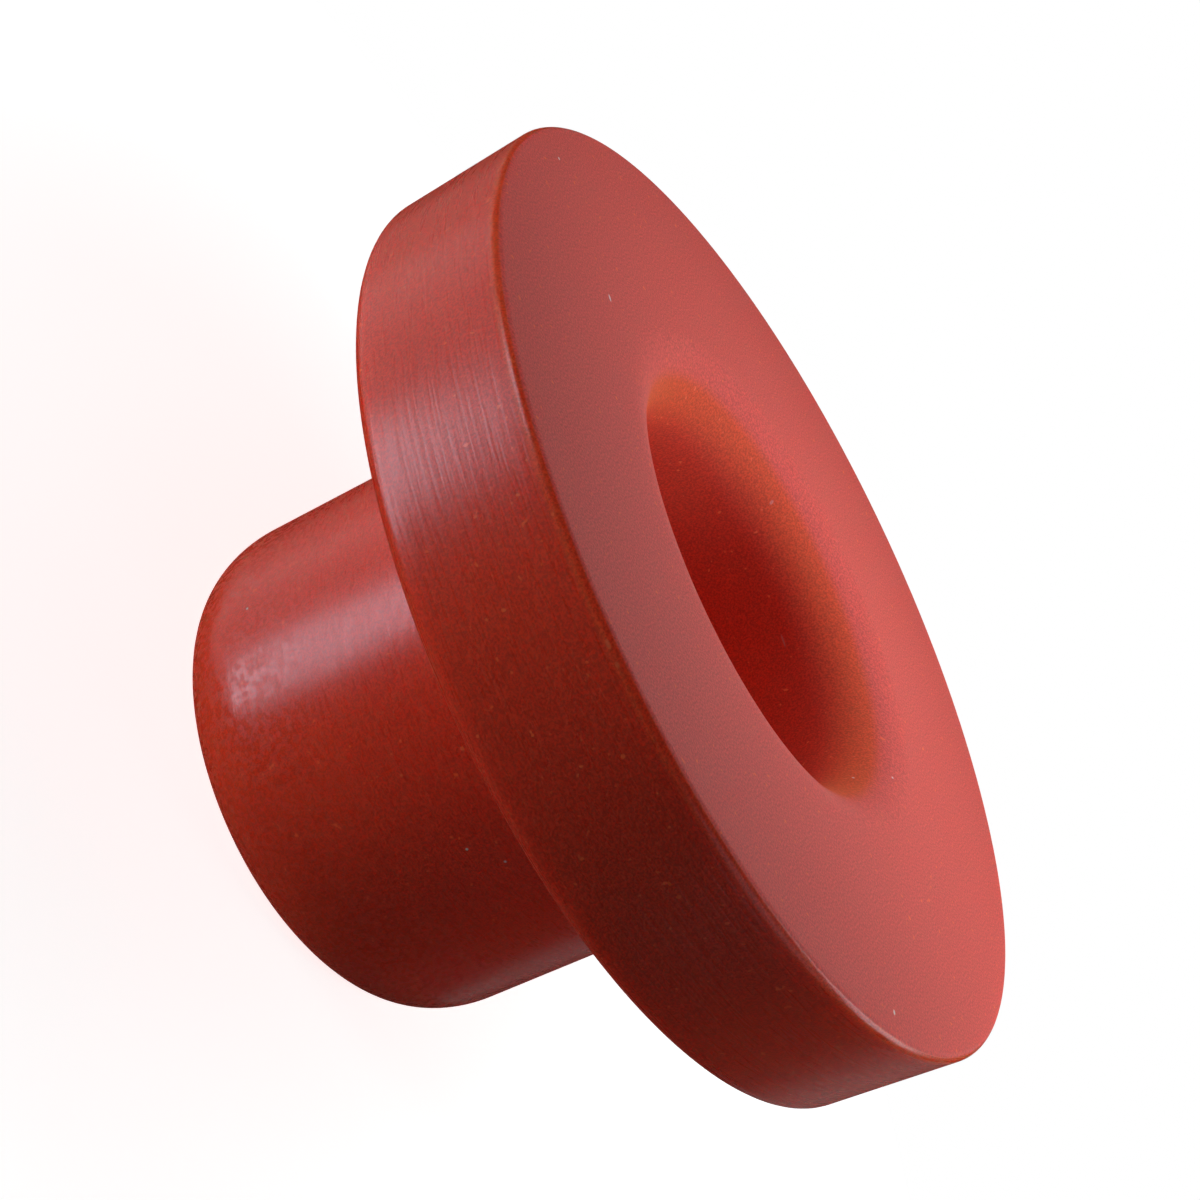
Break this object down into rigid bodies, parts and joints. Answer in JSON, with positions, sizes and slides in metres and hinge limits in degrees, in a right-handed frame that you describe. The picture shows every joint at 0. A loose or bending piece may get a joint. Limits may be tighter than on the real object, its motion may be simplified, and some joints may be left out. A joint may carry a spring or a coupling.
{
  "type": "coupling nut washer",
  "caption": "Round rubber washer with a thick flange on a short sleeve and a flared through bore, for sealing a supply tube under a coupling nut.",
  "frame": {"origin": "centre of the sleeve's end face, which the washer stands on", "axes": "+Z along the bore axis, from the sleeve's end to the flange's outer face; X and Y are alike"},
  "size_m": [0.022, 0.022, 0.0122],
  "materials": {
    "red_rubber": "satin"
  },
  "bodies": {
    "root": {"flanged_washer": "red_rubber"}
  },
  "joints": []
}
